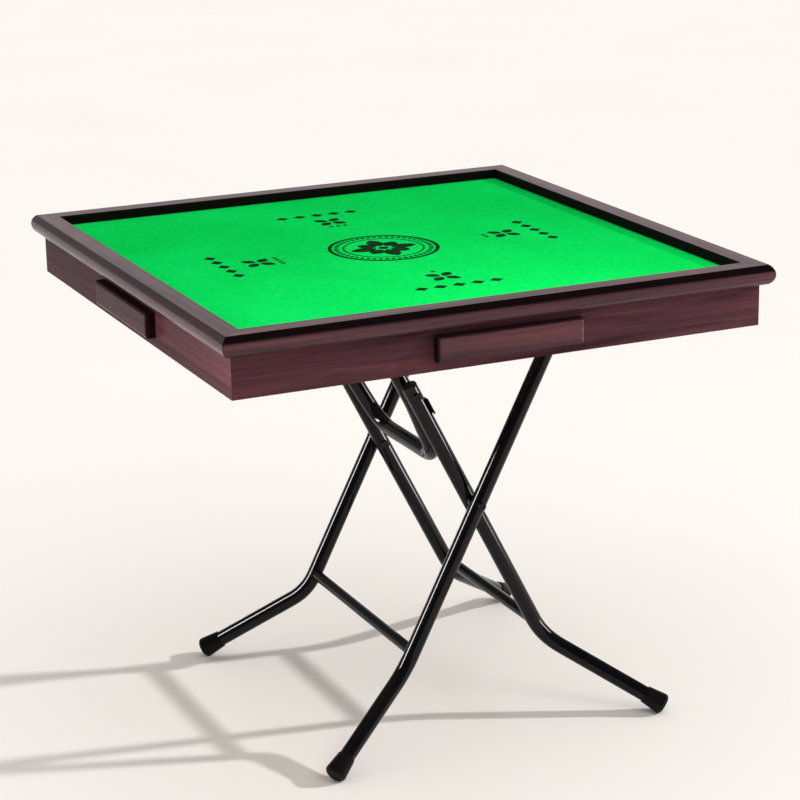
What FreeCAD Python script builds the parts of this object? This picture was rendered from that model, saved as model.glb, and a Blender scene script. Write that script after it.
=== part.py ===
import FreeCAD, Part
import Sketcher
import math
import os

# Square games table: a felted top in a moulded rail, an apron with a drawer on each side,
# and crossed tube legs that fold up under the top on a U-shaped link.
# The table's front faces -Y, the floor is z = 0 and the origin is under the middle of the top.

Vector = FreeCAD.Vector
doc = FreeCAD.newDocument("games_table")
sheet = doc.addObject("Spreadsheet::Sheet", "sizes")

driving_sizes = [
    ("table_side", 880),            # over the noses of the rails
    ("table_height", 765),          # floor to rail top
    ("rail_width", 39.5),           # inner edge to the nose
    ("nose_depth", 8),              # how far the rail's rounded nose stands out
    ("rail_inner_round", 2.5),      # rounding of the rail's inner top edge
    ("felt_drop", 15),              # rail top down to the felt
    ("felt_thick", 3),
    ("felt_gap", 0.5),              # felt edge to rail
    ("board_thick", 12),
    ("board_lap", 10),              # board edge lying on the apron
    ("board_gap", 0.5),             # board edge to the rail's rebate
    ("apron_inset", 17.5),          # apron face behind the rail's nose
    ("apron_thick", 18),
    ("apron_height", 64),
    ("corner_block_side", 50),
    ("corner_block_height", 48),
    ("drawer_front_width", 234),
    ("drawer_front_height", 38),
    ("drawer_front_thick", 15),
    ("drawer_front_round", 5),      # rounding of the front's outer edges
    ("drawer_front_rise", 15),      # front's lower edge above the apron's
    ("drawer_front_gap", 0.3),      # front to apron when shut
    ("drawer_front_lap", 6),        # front's lower edge below the box
    ("drawer_end_lap", 10),         # front beyond the box at each end
    ("drawer_box_height", 26),
    ("drawer_back_room", 11.5),     # back of the box to the cradles
    ("drawer_wall", 8),
    ("drawer_bottom_thick", 3),
    ("drawer_bottom_rise", 3),      # underside of the panel above the sides' lower edge
    ("drawer_groove_depth", 4),
    ("drawer_groove_gap", 0.1),
    ("drawer_side_gap", 1),         # box to runner and to the opening's ends
    ("drawer_top_gap", 1),          # box to the opening's upper edge
    ("runner_gap", 0.3),            # box to the runner's ledge
    ("runner_web", 12),
    ("runner_ledge_thick", 8),
    ("runner_ledge_width", 10),
    ("tube_diameter", 25),
    ("tube_wall", 1.2),
    ("stretcher_diameter", 18),
    ("weld_gap", 0.05),
    ("leg_lean", 27.1),             # upper legs, degrees from upright
    ("cross_x", 65),                # where the legs cross
    ("cross_drop", 181),            # knee bolts down to the crossing
    ("outer_leg_y", 195),           # middle of the table to an outer leg's middle line
    ("leg_gap", 7),                 # outer leg to inner leg
    ("link_gap", 3.5),              # inner leg to link arm
    ("bend_height", 120),           # where an upper leg's line meets the splayed lower leg's
    ("leg_bend_radius", 90),
    ("bar_bend_radius", 48),
    ("link_bend_radius", 48),
    ("foot_reach", 291.5),          # crossing to the foot along X
    ("foot_y", 282),
    ("foot_end_height", 10.5),      # middle of the foot's end above the floor
    ("stretcher_height", 148),
    ("bar_drop", 60),               # board down to the top bar of the outer frame
    ("hinge_drop", 46.5),           # board down to the link's hinge pins
    ("knee_drop", 133.5),           # hinge pins down to the bolts between inner legs and link
    ("link_tail", 142),             # knee bolt to the link's cross bar
    ("link_draw", 30),              # each arm drawn in towards the middle at the cross bar
    ("link_draw_start", 24),        # knee bolt to where the arm starts to draw in
    ("link_draw_radius", 60),
    ("link_end", 14),               # arm beyond its hinge pin
    ("leg_end", 16),                # inner leg beyond its knee bolt
    ("foot_length", 37),
    ("foot_end_radius", 17),
    ("foot_top_radius", 14),
    ("foot_round", 7),
    ("foot_base", 8),               # rubber under the tube's end
    ("foot_fit", 0.05),
    ("bolt_radius", 4),
    ("bolt_fit", 0.05),
    ("bolt_head_radius", 7),
    ("bolt_head_thick", 3),
    ("bolt_head_gap", 0.3),
    ("collar_radius", 9),
    ("plug_depth", 10),
    ("plug_flange", 1.5),
    ("plug_dome", 3),
    ("plug_fit", 0.05),
    ("knee_plate_thick", 2),
    ("knee_plate_length", 28),
    ("knee_plate_width", 20),
    ("knee_plate_start", 14),       # knee bolt to the plate, along the leg
    ("knee_plate_gap", 0.2),
    ("bracket_thick", 2.5),
    ("bracket_width", 32),
    ("bracket_flange", 30),
    ("bracket_gap", 0.6),
    ("cradle_y", 110),
    ("cradle_width", 24),
    ("cradle_gap", 0.4),
    ("cradle_wall", 9),
    ("cradle_flange", 20),
    ("cradle_flange_thick", 5),
    ("cradle_lip_angle", 52),       # end of the cradle's arc on the open side
    ("cradle_tail_angle", 205),     # end of the arc on the closed side
]
for row, (name, number) in enumerate(driving_sizes, start=1):
    sheet.set("A%d" % row, name)
    sheet.set("B%d" % row, str(number))
    sheet.setAlias("B%d" % row, name)
doc.recompute()


class Size:
    # A number together with the sheet formula that gives it.
    def __init__(self, value, text):
        self.value = value
        self.text = text

    def __add__(self, other):
        other = as_size(other)
        return Size(self.value + other.value, "(%s + %s)" % (self.text, other.text))

    def __sub__(self, other):
        other = as_size(other)
        return Size(self.value - other.value, "(%s - %s)" % (self.text, other.text))

    def __mul__(self, other):
        other = as_size(other)
        return Size(self.value * other.value, "(%s * %s)" % (self.text, other.text))

    def __truediv__(self, other):
        other = as_size(other)
        return Size(self.value / other.value, "(%s / %s)" % (self.text, other.text))

    def __neg__(self):
        return Size(-self.value, "(-1 * %s)" % self.text)

    __radd__ = __add__
    __rmul__ = __mul__


def as_size(number):
    if isinstance(number, Size):
        return number
    return Size(float(number), repr(float(number)))


def size(name):
    return Size(float(sheet.get(name)), "sizes." + name)


def sine(angle):
    return Size(math.sin(math.radians(angle.value)), "sin(%s * 1 deg)" % angle.text)


def cosine(angle):
    return Size(math.cos(math.radians(angle.value)), "cos(%s * 1 deg)" % angle.text)


def tangent(angle):
    return sine(angle) / cosine(angle)


# Levels and half widths that several pieces share
half_side = size("table_side") / 2
rail_top = size("table_height")
rail_inner = half_side - size("rail_width")
felt_top = rail_top - size("felt_drop")
board_top = felt_top - size("felt_thick")
board_bottom = board_top - size("board_thick")
apron_outer = half_side - size("apron_inset")
apron_inner = apron_outer - size("apron_thick")
apron_bottom = board_bottom - size("apron_height")
board_half = apron_inner + size("board_lap")
rebate_half = board_half + size("board_gap")
front_bottom = apron_bottom + size("drawer_front_rise")
box_bottom = front_bottom + size("drawer_front_lap")
box_top = box_bottom + size("drawer_box_height")
box_half = size("drawer_front_width") / 2 - size("drawer_end_lap")
box_front = -(apron_outer + size("drawer_front_gap"))
panel_bottom = box_bottom + size("drawer_bottom_rise")
panel_top = panel_bottom + size("drawer_bottom_thick")
ledge_top = box_bottom - size("runner_gap")

tube_radius = size("tube_diameter") / 2
bore_radius = tube_radius - size("tube_wall")
outer_y = size("outer_leg_y")
inner_y = outer_y - size("tube_diameter") - size("leg_gap")
link_y = inner_y - size("tube_diameter") - size("link_gap")
lean = size("leg_lean")
lean_run = tangent(lean)
hinge_height = board_bottom - size("hinge_drop")
knee_height = hinge_height - size("knee_drop")
cross_height = knee_height - size("cross_drop")
bar_height = board_bottom - size("bar_drop")
bar_x = size("cross_x") + (bar_height - cross_height) * lean_run
hinge_x = size("cross_x") - (hinge_height - cross_height) * lean_run
knee_x = size("cross_x") - (knee_height - cross_height) * lean_run
cradle_arc = tube_radius + size("cradle_gap")
cradle_half = cradle_arc + size("cradle_wall") + size("cradle_flange")
box_back = -(bar_x + cradle_half + size("drawer_back_room"))
hole_radius = size("bolt_radius") + size("bolt_fit")

sides = (("front", 0), ("right", 90), ("back", 180), ("left", 270))
ends = (("front", -1), ("back", 1))
parts = []


def keep(piece, label):
    piece.Label = label
    parts.append(piece)
    return piece


def turned(angle, offset=(0, 0, 0)):
    turn = FreeCAD.Rotation(Vector(0, 0, 1), angle)
    return FreeCAD.Placement(Vector(*offset), turn)


def new_body(name):
    return doc.addObject("PartDesign::Body", name)


def outline(body, role, points, lift=None):
    # A closed sketch. Each point is (x, y) for a straight run from the point before it,
    # or (x, y, radius, side) for an arc, whose middle lies to the left (1) or right (-1).
    plane = [part for part in body.Origin.OriginFeatures if part.Role == role][0]
    sketch = body.newObject("Sketcher::SketchObject", body.Name + "_outline")
    sketch.AttachmentSupport = (plane, [""])
    sketch.MapMode = "FlatFace"
    if lift is not None:
        sketch.setExpression("AttachmentOffset.Base.z", lift.text)
    spots = [Vector(as_size(point[0]).value, as_size(point[1]).value, 0) for point in points]
    count = len(points)
    for index in range(count):
        start = spots[index - 1]
        end = spots[index]
        if len(points[index]) == 2:
            sketch.addGeometry(Part.LineSegment(start, end))
            continue
        radius, side = points[index][2:]
        middle = (start + end) / 2
        along = end - start
        reach = math.sqrt(max(radius.value ** 2 - along.Length ** 2 / 4, 0))
        left = Vector(-along.y, along.x, 0).normalize()
        centre = middle + left * reach * side
        bulge = (middle - centre)
        if bulge.Length < 1e-6:
            bulge = left * -side
        crown = centre + bulge.normalize() * radius.value
        arc = Part.Arc(start, crown, end)
        sketch.addGeometry(arc)
    for index in range(count):
        point = points[index]
        after = (index + 1) % count
        into = end_of(sketch, index, spots[index])
        out = end_of(sketch, after, spots[index])
        sketch.addConstraint(Sketcher.Constraint("Coincident", index, into, after, out))
        for axis, coordinate in (("DistanceX", point[0]), ("DistanceY", point[1])):
            coordinate = as_size(coordinate)
            rule = Sketcher.Constraint(axis, -1, 1, index, into, coordinate.value)
            number = sketch.addConstraint(rule)
            sketch.setExpression("Constraints[%d]" % number, coordinate.text)
        if len(point) == 4:
            number = sketch.addConstraint(Sketcher.Constraint("Radius", index, point[2].value))
            sketch.setExpression("Constraints[%d]" % number, point[2].text)
    return sketch


def end_of(sketch, index, spot):
    # 1 or 2: which end of an edge of the sketch lies at the spot
    first = sketch.getPoint(index, 1)
    second = sketch.getPoint(index, 2)
    if (first - spot).Length <= (second - spot).Length:
        return 1
    return 2


def round_outline(body, role, x, y, radius, lift=None):
    plane = [part for part in body.Origin.OriginFeatures if part.Role == role][0]
    sketch = body.newObject("Sketcher::SketchObject", body.Name + "_circle")
    sketch.AttachmentSupport = (plane, [""])
    sketch.MapMode = "FlatFace"
    if lift is not None:
        sketch.setExpression("AttachmentOffset.Base.z", lift.text)
    x = as_size(x)
    y = as_size(y)
    centre = Vector(x.value, y.value, 0)
    sketch.addGeometry(Part.Circle(centre, Vector(0, 0, 1), radius.value))
    rules = (
        (Sketcher.Constraint("DistanceX", -1, 1, 0, 3, x.value), x),
        (Sketcher.Constraint("DistanceY", -1, 1, 0, 3, y.value), y),
        (Sketcher.Constraint("Radius", 0, radius.value), radius),
    )
    for rule, number in rules:
        place = sketch.addConstraint(rule)
        sketch.setExpression("Constraints[%d]" % place, number.text)
    return sketch


def pad(body, sketch, length, both_ways=False, backward=False):
    feature = body.newObject("PartDesign::Pad", body.Name + "_pad")
    feature.Profile = sketch
    feature.setExpression("Length", as_size(length).text)
    feature.SideType = "Symmetric" if both_ways else "One side"
    feature.Reversed = backward
    sketch.Visibility = False
    return feature


def pocket(body, sketch):
    # A cut right through the body, both ways from the sketch
    doc.recompute()
    before = body.Shape.Volume
    feature = body.newObject("PartDesign::Pocket", body.Name + "_cut")
    feature.Profile = sketch
    feature.Type = "ThroughAll"
    feature.SideType = "Symmetric"
    sketch.Visibility = False
    doc.recompute()
    if body.Shape.Volume >= before:
        raise RuntimeError(body.Name + ": a cut missed the piece")
    return feature


def revolve(body, sketch):
    feature = body.newObject("PartDesign::Revolution", body.Name + "_turned")
    feature.Profile = sketch
    axis = [part for part in body.Origin.OriginFeatures if part.Role == "Z_Axis"][0]
    feature.ReferenceAxis = (axis, [""])
    feature.Angle = 360
    sketch.Visibility = False
    return feature


def box(name, low, high):
    # A board between two corners, each corner three sizes
    board = doc.addObject("Part::Box", name)
    for side, start, end in zip(("Length", "Width", "Height"), low, high):
        board.setExpression(side, (as_size(end) - start).text)
    corner = Vector(*[as_size(number).value for number in low])
    board.Placement = FreeCAD.Placement(corner, FreeCAD.Rotation())
    return board


def cut(name, base, tool):
    result = doc.addObject("Part::Cut", name)
    result.Base = base
    result.Tool = tool
    return result


def square_sheet(label, half, bottom, thick):
    body = new_body(label)
    corners = [(-half, -half), (half, -half), (half, half), (-half, half)]
    pad(body, outline(body, "XY_Plane", corners, bottom), thick)
    return keep(body, label)


# Top board and play cloth
square_sheet("top_board", board_half, board_bottom, size("board_thick"))
square_sheet("felt_top", rail_inner - size("felt_gap"), board_top, size("felt_thick"))

# Rails: one moulded section, mitred at both ends
rail_thick = rail_top - board_bottom
nose_depth = size("nose_depth")
nose_root = half_side - nose_depth
nose_radius = (rail_thick * rail_thick / 4 + nose_depth * nose_depth) / (nose_depth * 2)
inner_round = size("rail_inner_round")


def rail(label, angle):
    body = new_body(label)
    section = [
        (-rail_inner, board_top),
        (-rail_inner, rail_top - inner_round),
        (-(rail_inner + inner_round), rail_top, inner_round, 1),
        (-nose_root, rail_top),
        (-nose_root, board_bottom, nose_radius, 1),
        (-rebate_half, board_bottom),
        (-rebate_half, board_top),
    ]
    pad(body, outline(body, "YZ_Plane", section), size("table_side"), both_ways=True)
    for hand in (-1, 1):
        mitre = [
            (rail_inner * 0.9 * hand, rail_inner * -0.9),
            (half_side * 1.1 * hand, half_side * -1.1),
            (half_side * 1.1 * hand, rail_inner * -0.9),
        ]
        pocket(body, outline(body, "XY_Plane", mitre))
    body.Placement = turned(angle)
    return keep(body, label)


# Aprons: mitred boards, each with the opening for its drawer
opening_half = box_half + size("drawer_side_gap")
opening_top = box_top + size("drawer_top_gap")


def apron(label, angle):
    body = new_body(label)
    plan = [
        (-apron_outer, -apron_outer),
        (apron_outer, -apron_outer),
        (apron_inner, -apron_inner),
        (-apron_inner, -apron_inner),
    ]
    pad(body, outline(body, "XY_Plane", plan, apron_bottom), size("apron_height"))
    opening = [
        (-opening_half, ledge_top),
        (opening_half, ledge_top),
        (opening_half, opening_top),
        (-opening_half, opening_top),
    ]
    pocket(body, outline(body, "XZ_Plane", opening))
    body.Placement = turned(angle)
    return keep(body, label)


def corner_block(label, angle):
    body = new_body(label)
    inset = apron_inner - size("corner_block_side")
    plan = [(apron_inner, -apron_inner), (apron_inner, -inset), (inset, -apron_inner)]
    lift = board_bottom - size("corner_block_height")
    pad(body, outline(body, "XY_Plane", plan, lift), size("corner_block_height"))
    body.Placement = turned(angle)
    return body


# Drawers: an overlay front, two grooved sides, a back and a panel held in the grooves
def drawer_front(label, angle):
    body = new_body(label)
    half = size("drawer_front_width") / 2
    top = front_bottom + size("drawer_front_height")
    face = [(-half, front_bottom), (half, front_bottom), (half, top), (-half, top)]
    block = pad(body, outline(body, "XZ_Plane", face, -box_front), size("drawer_front_thick"))
    doc.recompute()
    outer = block.Shape.BoundBox.YMin
    rim = []
    for number, edge in enumerate(block.Shape.Edges, start=1):
        if max(abs(vertex.Y - outer) for vertex in edge.Vertexes) < 1e-6:
            rim.append("Edge%d" % number)
    rounding = body.newObject("PartDesign::Fillet", label + "_round")
    rounding.Base = (block, rim)
    rounding.setExpression("Radius", "sizes.drawer_front_round")
    body.Placement = turned(angle)
    return keep(body, label)


def drawer_side(label, angle, hand):
    inner = box_half - size("drawer_wall")
    if hand > 0:
        low_x, high_x = inner, box_half
    else:
        low_x, high_x = -box_half, -inner
    board = box(label + "_board", (low_x, box_front, box_bottom), (high_x, box_back, box_top))
    deep = inner + size("drawer_groove_depth")
    if hand > 0:
        groove_low, groove_high = inner - 1, deep
    else:
        groove_low, groove_high = -deep, -inner + 1
    gap = size("drawer_groove_gap")
    groove = box(
        label + "_groove",
        (groove_low, box_front - 1, panel_bottom - gap),
        (groove_high, box_back + 1, panel_top + gap),
    )
    side = cut(label, board, groove)
    side.Placement = turned(angle)
    return keep(side, label)


def placed_box(label, angle, low, high):
    board = box(label, low, high)
    board.Placement = turned(angle).multiply(board.Placement)
    return keep(board, label)


def drawer_back(label, angle):
    inner = box_half - size("drawer_wall")
    low = (-inner, box_back - size("drawer_wall"), panel_top)
    return placed_box(label, angle, low, (inner, box_back, box_top))


def drawer_bottom(label, angle):
    reach = box_half - size("drawer_wall") + size("drawer_groove_depth") - size("drawer_groove_gap")
    return placed_box(label, angle, (-reach, box_front, panel_bottom), (reach, box_back, panel_top))


def runner(label, angle, hand):
    body = new_body(label)
    near = (box_half + size("drawer_side_gap")) * hand
    far = near + size("runner_web") * hand
    tip = near - size("runner_ledge_width") * hand
    low = ledge_top - size("runner_ledge_thick")
    section = [
        (far, board_bottom),
        (near, board_bottom),
        (near, ledge_top),
        (tip, ledge_top),
        (tip, low),
        (far, low),
    ]
    length = apron_inner + box_back
    pad(body, outline(body, "XZ_Plane", section, -box_back), length)
    body.Placement = turned(angle)
    return keep(body, label)


blocks = []
for name, angle in sides:
    rail("rail_" + name, angle)
    apron("apron_" + name, angle)
    blocks.append(corner_block("corner_block_" + name, angle))
    drawer_front("drawer_%s_face" % name, angle)
    drawer_side("drawer_%s_side_left" % name, angle, -1)
    drawer_side("drawer_%s_side_right" % name, angle, 1)
    drawer_back("drawer_%s_back" % name, angle)
    drawer_bottom("drawer_%s_bottom" % name, angle)
    runner("runner_%s_left" % name, angle, -1)
    runner("runner_%s_right" % name, angle, 1)


def group(label, pieces):
    gathered = doc.addObject("Part::Compound", label)
    gathered.Links = pieces
    return keep(gathered, label)


group("corner_blocks", blocks)

# Leg tubes are bent in more than one plane, so their paths are wires of runs and tangent arcs.


def at_height(height, direction):
    # Point on an upper leg's middle line, as (x, z)
    rise = height.value - cross_height.value
    return size("cross_x").value + direction * rise * lean_run.value, height.value


def upper_point(height, direction, y):
    x, z = at_height(height, direction)
    return Vector(x, y, z)


def foot_point(direction, hand):
    x = size("cross_x").value - direction * size("foot_reach").value
    return Vector(x, hand * size("foot_y").value, size("foot_end_height").value)


def leg_axis(direction):
    slope = math.radians(lean.value)
    return Vector(direction * math.sin(slope), 0, math.cos(slope))


def bent_path(points, radii):
    # Straight runs joined by arcs: radii has one radius for each inner point
    edges = []
    last = points[0]
    for index in range(1, len(points) - 1):
        corner = points[index]
        back = (points[index - 1] - corner).normalize()
        ahead = (points[index + 1] - corner).normalize()
        half_angle = back.getAngle(ahead) / 2
        radius = radii[index - 1]
        run = radius / math.tan(half_angle)
        bisector = (back + ahead).normalize()
        centre = corner + bisector * (radius / math.sin(half_angle))
        start = corner + back * run
        end = corner + ahead * run
        crown = centre - bisector * radius
        edges.append(Part.LineSegment(last, start).toShape())
        edges.append(Part.Arc(start, crown, end).toShape())
        last = end
    edges.append(Part.LineSegment(last, points[-1]).toShape())
    return Part.Wire(edges)


def swept(path, radius):
    start = path.Edges[0].firstVertex().Point
    heading = path.Edges[0].tangentAt(path.Edges[0].FirstParameter)
    ring = Part.Wire([Part.Circle(start, heading, radius).toShape()])
    return path.makePipeShell([ring], True, False)


def tube_shape(points, radii):
    path = bent_path(points, radii)
    solid = swept(path, tube_radius.value)
    bore = swept(path, bore_radius.value)
    expected = math.pi * (tube_radius.value ** 2 - bore_radius.value ** 2) * path.Length
    shape = solid.cut(bore)
    if abs(shape.Volume - expected) > 0.02 * expected:
        raise RuntimeError("a bent tube's volume is off")
    return shape


def cross_hole(shape, x, z, y):
    # A bolt hole across a tube, along Y
    start = Vector(x, y - tube_radius.value - 1, z)
    length = size("tube_diameter").value + 2
    return shape.cut(Part.makeCylinder(hole_radius.value, length, start, Vector(0, 1, 0)))


def tube_piece(label, shape):
    piece = doc.addObject("Part::Feature", label)
    piece.Shape = shape
    piece.Placement = FreeCAD.Placement()
    return keep(piece, label)


def tube_end(direction, hand, bend):
    # The tube stops short of its foot's end by the rubber under it
    foot = foot_point(direction, hand)
    return foot + (bend - foot).normalize() * size("foot_base").value


leg_radius = size("leg_bend_radius").value
bar_radius = size("bar_bend_radius").value
cross_x = size("cross_x").value
cross_z = cross_height.value

# Outer frame: one tube from foot to foot, over the top bar
bends = [upper_point(size("bend_height"), 1, hand * outer_y.value) for hand in (-1, 1)]
corners = [upper_point(bar_height, 1, hand * outer_y.value) for hand in (-1, 1)]
feet = [tube_end(1, hand, bend) for hand, bend in zip((-1, 1), bends)]
frame_points = [feet[0], bends[0], corners[0], corners[1], bends[1], feet[1]]
outer_tube = tube_shape(frame_points, [leg_radius, bar_radius, bar_radius, leg_radius])
for hand in (-1, 1):
    outer_tube = cross_hole(outer_tube, cross_x, cross_z, hand * outer_y.value)
tube_piece("outer_frame_tube", outer_tube)

# Inner legs: two bent tubes, with holes at the crossing and the knee
knee_z = knee_height.value
for name, hand in ends:
    y = hand * inner_y.value
    bend = upper_point(size("bend_height"), -1, y)
    top = upper_point(knee_height, -1, y) + leg_axis(-1) * size("leg_end").value
    leg = tube_shape([tube_end(-1, hand, bend), bend, top], [leg_radius])
    leg = cross_hole(leg, cross_x, cross_z, y)
    leg = cross_hole(leg, knee_x.value, knee_z, y)
    tube_piece("inner_leg_" + name, leg)

# Link: two arms beside the inner legs, drawn in below the knee to a cross bar
hinge_z = hinge_height.value
link_points = []
for hand in (-1, 1):
    y = hand * link_y.value
    top = upper_point(hinge_height, -1, y) + leg_axis(-1) * size("link_end").value
    knee = upper_point(knee_height, -1, y)
    turn = knee - leg_axis(-1) * size("link_draw_start").value
    low = knee - leg_axis(-1) * size("link_tail").value
    low -= Vector(0, hand * size("link_draw").value, 0)
    link_points += [top, turn, low] if hand < 0 else [low, turn, top]
draw_radius = size("link_draw_radius").value
link_radius = size("link_bend_radius").value
link = tube_shape(link_points, [draw_radius, link_radius, link_radius, draw_radius])
for hand in (-1, 1):
    link = cross_hole(link, knee_x.value, knee_z, hand * link_y.value)
    link = cross_hole(link, hinge_x.value, hinge_z, hand * link_y.value)
tube_piece("link_bow", link)


# Stretchers: straight tubes whose ends are hollowed to fit the legs
def stretcher(label, direction, leg_y):
    x, z = at_height(size("stretcher_height"), direction)
    rod = doc.addObject("Part::Cylinder", label + "_rod")
    rod.setExpression("Radius", "sizes.stretcher_diameter / 2")
    rod.setExpression("Height", (leg_y * 2).text)
    along = FreeCAD.Rotation(Vector(1, 0, 0), -90)
    rod.Placement = FreeCAD.Placement(Vector(x, -leg_y.value, z), along)
    bore = doc.addObject("Part::Cylinder", label + "_bore")
    bore.setExpression("Radius", "sizes.stretcher_diameter / 2 - sizes.tube_wall")
    bore.setExpression("Height", (leg_y * 2).text)
    bore.Placement = rod.Placement
    shaped = cut(label + "_hollow", rod, bore)
    reach = size("stretcher_diameter") * 2
    for name, hand in ends:
        leg = doc.addObject("Part::Cylinder", "%s_leg_%s" % (label, name))
        leg.setExpression("Radius", (tube_radius + size("weld_gap")).text)
        leg.setExpression("Height", (reach * 2).text)
        heading = FreeCAD.Rotation(Vector(0, 0, 1), leg_axis(direction))
        start = Vector(x, hand * leg_y.value, z) - leg_axis(direction) * reach.value
        leg.Placement = FreeCAD.Placement(start, heading)
        shaped = cut("%s_%s" % (label, name), shaped, leg)
    return keep(shaped, label)


stretcher("outer_stretcher", 1, outer_y)
stretcher("inner_stretcher", -1, inner_y)


# Feet: rubber cups, cut flat where they stand on the floor
def foot(label, direction, hand, leg_y):
    body = new_body(label + "_cup")
    rounding = size("foot_round")
    end = size("foot_end_radius")
    fit = tube_radius + size("foot_fit")
    section = [
        (0, 0),
        (end - rounding, 0),
        (end, rounding, rounding, 1),
        (size("foot_top_radius"), size("foot_length")),
        (fit, size("foot_length")),
        (fit, size("foot_base")),
        (0, size("foot_base")),
    ]
    revolve(body, outline(body, "XZ_Plane", section))
    tip = foot_point(direction, hand)
    bend = upper_point(size("bend_height"), direction, hand * leg_y.value)
    heading = FreeCAD.Rotation(Vector(0, 0, 1), bend - tip)
    body.Placement = FreeCAD.Placement(tip, heading)
    floor = doc.addObject("Part::Box", label + "_floor")
    for side in ("Length", "Width", "Height"):
        floor.setExpression(side, "sizes.foot_length * 4")
    reach = size("foot_length").value * 2
    floor.Placement = FreeCAD.Placement(tip - Vector(reach, reach, tip.z + reach * 2), FreeCAD.Rotation())
    return keep(cut(label, body, floor), label)


for name, hand in ends:
    foot("outer_foot_" + name, 1, hand, outer_y)
    foot("inner_foot_" + name, -1, hand, inner_y)


# Turned pieces whose axis lies along Y, pointing away from the table's middle
def across(body, x, z, hand):
    heading = FreeCAD.Rotation(Vector(0, 0, 1), Vector(0, hand, 0))
    body.Placement = FreeCAD.Placement(Vector(x, 0, z), heading)
    return body


def shoulder_bolt(label, x, z, hand, inner_face, collar_low, collar_high, outer_face):
    # Domed heads at both ends and, between two tubes, a collar that spaces them
    body = new_body(label)
    shank = size("bolt_radius")
    head = size("bolt_head_radius")
    thick = size("bolt_head_thick")
    gap = size("bolt_head_gap")
    collar = size("collar_radius")
    section = [
        (0, inner_face - gap - thick),
        (head - thick / 2, inner_face - gap - thick),
        (head, inner_face - gap - thick / 2, thick / 2, 1),
        (head, inner_face - gap),
        (shank, inner_face - gap),
        (shank, collar_low + gap),
        (collar, collar_low + gap),
        (collar, collar_high - gap),
        (shank, collar_high - gap),
        (shank, outer_face + gap),
        (head, outer_face + gap),
        (head, outer_face + gap + thick / 2),
        (head - thick / 2, outer_face + gap + thick, thick / 2, 1),
        (0, outer_face + gap + thick),
    ]
    revolve(body, outline(body, "XZ_Plane", section))
    return across(body, x, z, hand)


pivots = []
knees = []
for name, hand in ends:
    pivots.append(shoulder_bolt(
        "pivot_bolt_" + name, cross_x, cross_z, hand,
        inner_y - tube_radius, inner_y + tube_radius, outer_y - tube_radius, outer_y + tube_radius,
    ))
    knees.append(shoulder_bolt(
        "knee_bolt_" + name, knee_x.value, knee_z, hand,
        link_y - tube_radius, link_y + tube_radius, inner_y - tube_radius, inner_y + tube_radius,
    ))
group("pivot_bolts", pivots)
group("knee_bolts", knees)


# Hinge pins of the link: a shank through arm and bracket with a flat head at each end
lug_inner = link_y + tube_radius + size("bracket_gap")
lug_outer = lug_inner + size("bracket_thick")


def hinge_pin(label, hand):
    body = new_body(label)
    shank = size("bolt_radius")
    head = size("bolt_head_radius")
    thick = size("bolt_head_thick")
    inner_face = link_y - tube_radius - size("bolt_head_gap")
    outer_face = lug_outer + size("bolt_fit")
    section = [
        (0, inner_face - thick),
        (head, inner_face - thick),
        (head, inner_face),
        (shank, inner_face),
        (shank, outer_face),
        (head, outer_face),
        (head, outer_face + thick),
        (0, outer_face + thick),
    ]
    revolve(body, outline(body, "XZ_Plane", section))
    return across(body, hinge_x.value, hinge_z, hand)


group("hinge_pins", [hinge_pin("hinge_pin_" + name, hand) for name, hand in ends])


def link_bracket(label, hand):
    # Angle plate: a round-ended lug outside the arm and a flange under the board
    body = new_body(label)
    half = size("bracket_width") / 2
    level = hinge_height
    lug = [
        (half, board_bottom),
        (-half, board_bottom),
        (-half, level),
        (0, level - half, half, 1),
        (half, level, half, 1),
    ]
    pad(body, outline(body, "XZ_Plane", lug, -lug_outer), size("bracket_thick"))
    flange_end = lug_inner + size("bracket_flange")
    flange = [(-half, lug_inner), (half, lug_inner), (half, flange_end), (-half, flange_end)]
    under = board_bottom - size("bracket_thick")
    pad(body, outline(body, "XY_Plane", flange, under), size("bracket_thick"))
    pocket(body, round_outline(body, "XZ_Plane", 0, level, hole_radius))
    body.Placement = turned(0 if hand > 0 else 180, (hinge_x.value, 0, 0))
    return keep(body, label)


def cradle(label, hand):
    # A hook block under the board: its mouth faces down and outward, where the bar comes out
    body = new_body(label)
    level = bar_height
    arc = cradle_arc
    lip = size("cradle_lip_angle")
    tail = size("cradle_tail_angle")
    wall = arc + size("cradle_wall")
    flange = cradle_half
    under = board_bottom - size("cradle_flange_thick")
    section = [
        (-flange, board_bottom),
        (-flange, under),
        (-wall, under),
        (-wall, level + arc * sine(tail)),
        (arc * cosine(tail), level + arc * sine(tail)),
        (arc * cosine(lip), level + arc * sine(lip), arc, -1),
        (wall, level + wall),
        (wall, under),
        (flange, under),
        (flange, board_bottom),
    ]
    pad(body, outline(body, "XZ_Plane", section), size("cradle_width"), both_ways=True)
    place = Vector(bar_x.value, hand * size("cradle_y").value, 0)
    body.Placement = FreeCAD.Placement(place, FreeCAD.Rotation())
    return keep(body, label)


for name, hand in ends:
    link_bracket("link_bracket_" + name, hand)
    cradle("cradle_" + name, hand)


def top_plug(label, hand):
    # Plug in the inner leg's upper end, with a domed flange
    body = new_body(label)
    stem = bore_radius - size("plug_fit")
    rim = size("plug_flange")
    section = [
        (0, -size("plug_depth")),
        (stem, -size("plug_depth")),
        (stem, 0),
        (tube_radius, 0),
        (tube_radius, rim),
        (tube_radius - size("plug_dome"), rim + size("plug_dome"), size("plug_dome"), 1),
        (0, rim + size("plug_dome")),
    ]
    revolve(body, outline(body, "XZ_Plane", section))
    end = upper_point(knee_height, -1, hand * inner_y.value) + leg_axis(-1) * size("leg_end").value
    body.Placement = FreeCAD.Placement(end, FreeCAD.Rotation(Vector(0, 0, 1), leg_axis(-1)))
    return body


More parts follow.
